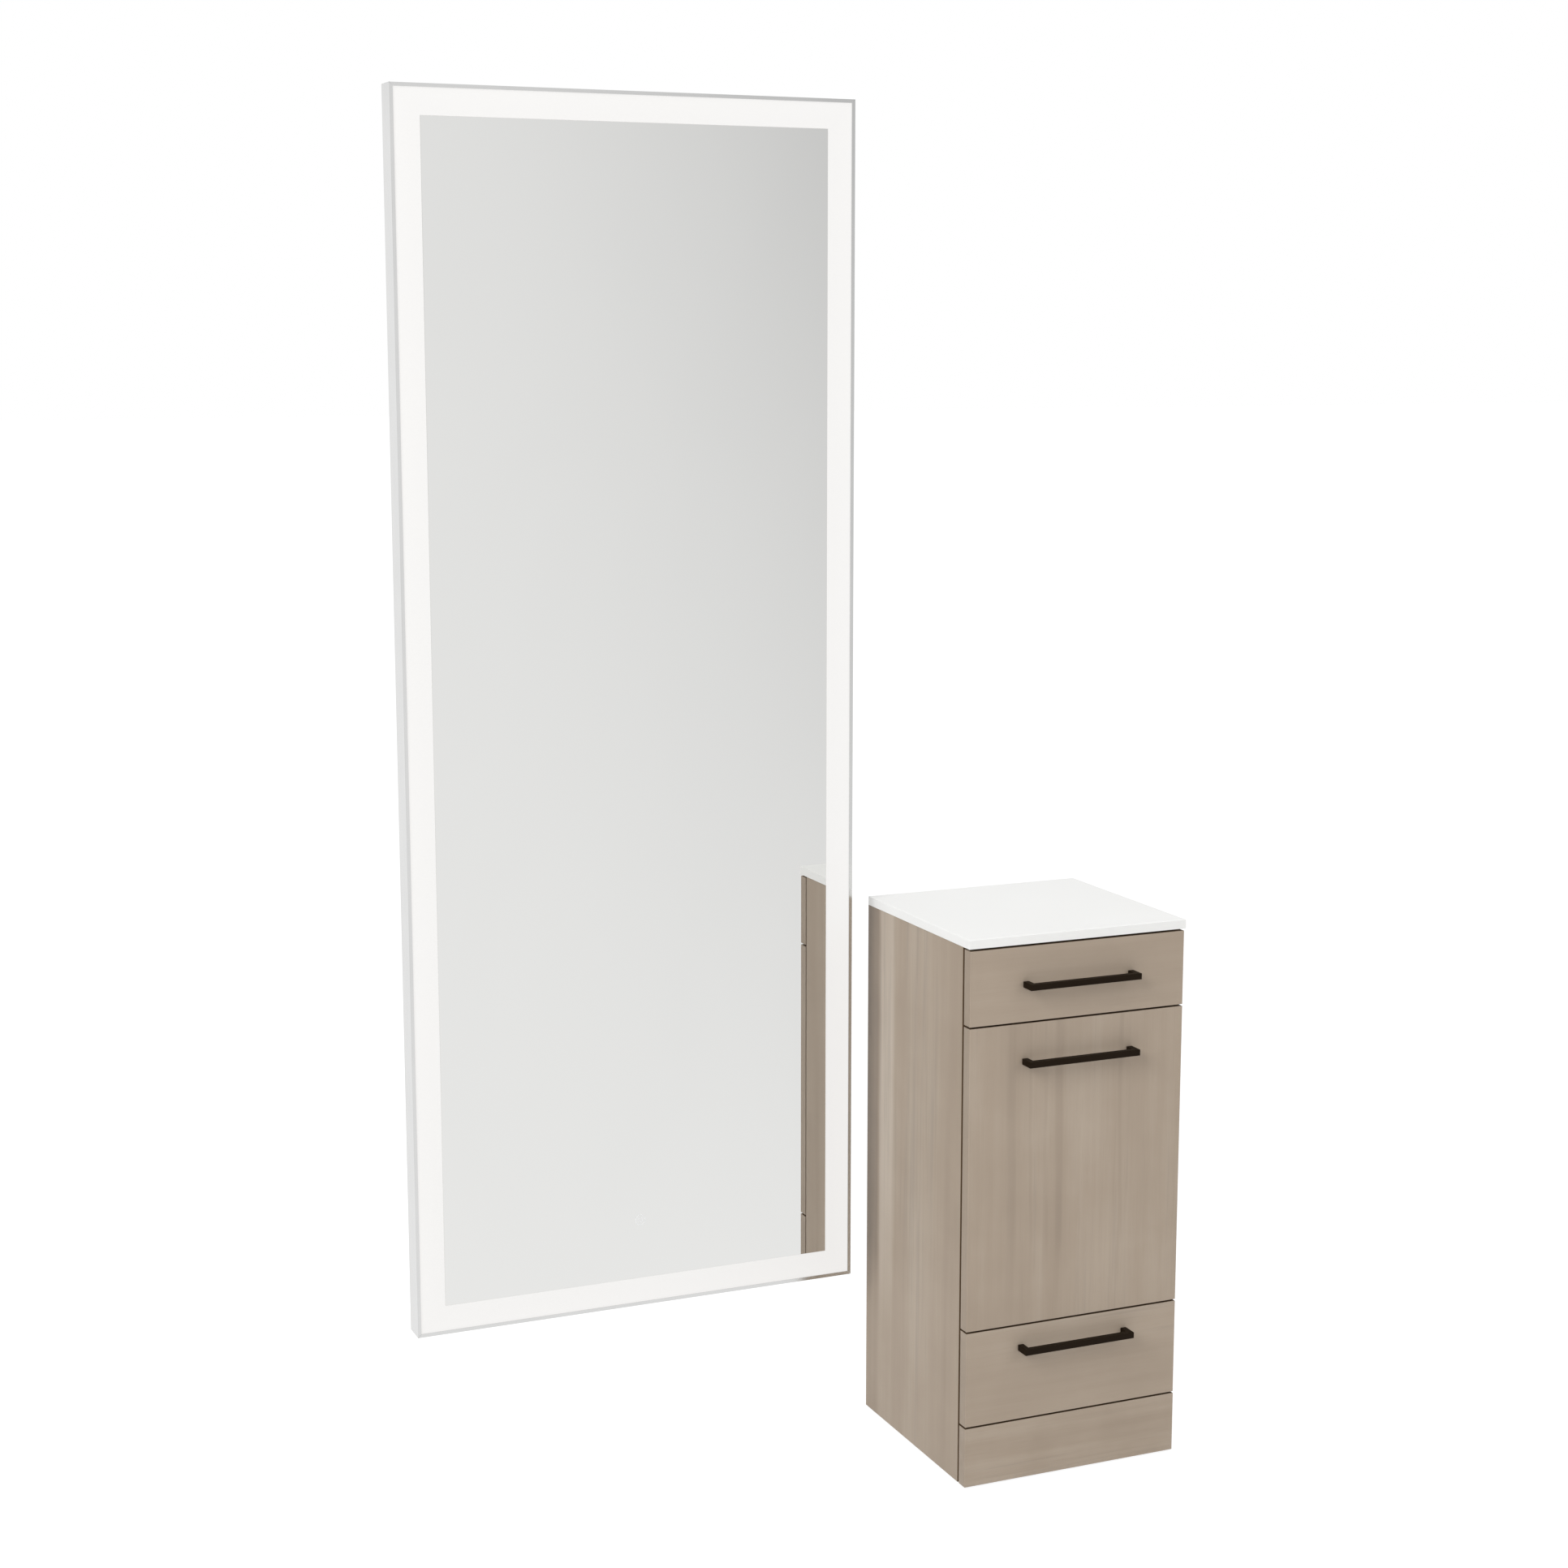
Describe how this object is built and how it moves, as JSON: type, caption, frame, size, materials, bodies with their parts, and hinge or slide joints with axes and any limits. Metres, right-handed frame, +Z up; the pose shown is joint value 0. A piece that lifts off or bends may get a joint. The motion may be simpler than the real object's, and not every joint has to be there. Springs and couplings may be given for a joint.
{
  "type": "mobile styling station",
  "caption": "Tall lit wall mirror with a narrow floor cabinet beside it, fitted with drawers, a tilt-out tool bin and concealed casters under a slab top.",
  "frame": {"origin": "on the floor, at the middle of the set's box in width and depth", "axes": "+Z up, +X right along the wall as seen from the room, +Y into the wall"},
  "size_m": [1.2106, 0.4056, 2.2255],
  "materials": {
    "greige_laminate": "matte wood-grain laminate on board",
    "white_worktop": "satin white solid surface",
    "black_metal": "satin black powder coat",
    "white_liner": "matte white foil on board",
    "zinc_steel": "bright zinc plate",
    "wheel_grey": "soft grey tread",
    "brushed_steel": "brushed",
    "satin_aluminium": "satin anodised",
    "silvered_glass": "silvered float glass",
    "opal_diffuser": "opal, lit from behind",
    "white_painted_steel": "white powder coat",
    "led_strip": "light strip",
    "driver_casing": "grey casing",
    "black_plastic": "black nylon"
  },
  "bodies": {
    "mirror": {"mirror_pane": "silvered_glass", "light_band": "opal_diffuser", "frame_rail_left": "satin_aluminium", "frame_rail_right": "satin_aluminium", "frame_rail_top": "satin_aluminium", "frame_rail_bottom": "satin_aluminium", "rear_panel": "white_painted_steel", "led_strip": "led_strip", "led_driver": "driver_casing", "touch_sensor": "black_plastic", "cable_gland": "black_plastic", "hanger_cleat": "satin_aluminium", "wall_cleat": "satin_aluminium"},
    "cabinet": {"side_left": "greige_laminate", "side_right": "greige_laminate", "back_panel": "greige_laminate", "base_deck": "greige_laminate", "lower_divider": "greige_laminate", "upper_divider": "greige_laminate", "tilt_stop_rail": "greige_laminate", "sub_top": "greige_laminate", "plinth_panel": "greige_laminate", "worktop": "white_worktop", "pivot_bracket_left": "zinc_steel", "pivot_bracket_right": "zinc_steel", "top_drawer_runner_left_outer": "zinc_steel", "top_drawer_runner_right_outer": "zinc_steel", "bottom_drawer_runner_left_outer": "zinc_steel", "bottom_drawer_runner_right_outer": "zinc_steel"},
    "tilt_out": {"tilt_front": "greige_laminate", "tilt_pull": "black_metal", "bin_side_left": "white_liner", "bin_side_right": "white_liner", "bin_back": "white_liner", "bin_bottom": "white_liner", "tool_plate": "brushed_steel"},
    "top_drawer": {"top_drawer_front": "greige_laminate", "top_drawer_box": "white_liner", "top_drawer_bottom": "white_liner", "top_drawer_pull": "black_metal", "top_drawer_runner_left_inner": "zinc_steel", "top_drawer_runner_right_inner": "zinc_steel"},
    "top_drawer_slides": {"top_drawer_runner_left_middle": "zinc_steel", "top_drawer_runner_right_middle": "zinc_steel"},
    "bottom_drawer": {"bottom_drawer_front": "greige_laminate", "bottom_drawer_box": "white_liner", "bottom_drawer_bottom": "white_liner", "bottom_drawer_pull": "black_metal", "bottom_drawer_runner_left_inner": "zinc_steel", "bottom_drawer_runner_right_inner": "zinc_steel"},
    "bottom_drawer_slides": {"bottom_drawer_runner_left_middle": "zinc_steel", "bottom_drawer_runner_right_middle": "zinc_steel"},
    "front_left_swivel": {"caster_front_left_fork": "zinc_steel"},
    "front_left_roller": {"caster_front_left_wheel": "wheel_grey"},
    "front_right_swivel": {"caster_front_right_fork": "zinc_steel"},
    "front_right_roller": {"caster_front_right_wheel": "wheel_grey"},
    "rear_left_swivel": {"caster_rear_left_fork": "zinc_steel"},
    "rear_left_roller": {"caster_rear_left_wheel": "wheel_grey"},
    "rear_right_swivel": {"caster_rear_right_fork": "zinc_steel"},
    "rear_right_roller": {"caster_rear_right_wheel": "wheel_grey"}
  },
  "joints": [
    {"name": "cabinet_roll", "type": "slide", "parent": "mirror", "child": "cabinet", "axis": [0, -1, 0], "range_m": [0, 0.6]},
    {"name": "top_drawer_slide", "type": "slide", "parent": "cabinet", "child": "top_drawer", "axis": [0, -1, 0], "range_m": [0, 0.28]},
    {"name": "top_drawer_middle_slide", "type": "slide", "parent": "cabinet", "child": "top_drawer_slides", "axis": [0, -1, 0], "range_m": [0, 0.14]},
    {"name": "bottom_drawer_slide", "type": "slide", "parent": "cabinet", "child": "bottom_drawer", "axis": [0, -1, 0], "range_m": [0, 0.28]},
    {"name": "bottom_drawer_middle_slide", "type": "slide", "parent": "cabinet", "child": "bottom_drawer_slides", "axis": [0, -1, 0], "range_m": [0, 0.14]},
    {"name": "tilt_out_hinge", "type": "hinge", "parent": "cabinet", "child": "tilt_out", "pos_m": [0.407, -0.1677, 0.2738], "axis": [1, 0, 0], "range_deg": [0, 20]},
    {"name": "front_left_swivel_turn", "type": "hinge", "parent": "cabinet", "child": "front_left_swivel", "pos_m": [0.28125, -0.0962, 0.0723], "axis": [0, 0, 1], "continuous": true},
    {"name": "front_left_wheel_spin", "type": "hinge", "parent": "front_left_swivel", "child": "front_left_roller", "pos_m": [0.28125, -0.0762, 0.025], "axis": [1, 0, 0], "continuous": true},
    {"name": "front_right_swivel_turn", "type": "hinge", "parent": "cabinet", "child": "front_right_swivel", "pos_m": [0.53275, -0.0962, 0.0723], "axis": [0, 0, 1], "continuous": true},
    {"name": "front_right_wheel_spin", "type": "hinge", "parent": "front_right_swivel", "child": "front_right_roller", "pos_m": [0.53275, -0.0762, 0.025], "axis": [1, 0, 0], "continuous": true},
    {"name": "rear_left_swivel_turn", "type": "hinge", "parent": "cabinet", "child": "rear_left_swivel", "pos_m": [0.28125, 0.1328, 0.0723], "axis": [0, 0, 1], "continuous": true},
    {"name": "rear_left_wheel_spin", "type": "hinge", "parent": "rear_left_swivel", "child": "rear_left_roller", "pos_m": [0.28125, 0.1528, 0.025], "axis": [1, 0, 0], "continuous": true},
    {"name": "rear_right_swivel_turn", "type": "hinge", "parent": "cabinet", "child": "rear_right_swivel", "pos_m": [0.53275, 0.1328, 0.0723], "axis": [0, 0, 1], "continuous": true},
    {"name": "rear_right_wheel_spin", "type": "hinge", "parent": "rear_right_swivel", "child": "rear_right_roller", "pos_m": [0.53275, 0.1528, 0.025], "axis": [1, 0, 0], "continuous": true}
  ],
  "couplings": [
    {"joint": "top_drawer_middle_slide", "follows": "top_drawer_slide", "ratio": 0.5},
    {"joint": "bottom_drawer_middle_slide", "follows": "bottom_drawer_slide", "ratio": 0.5}
  ]
}
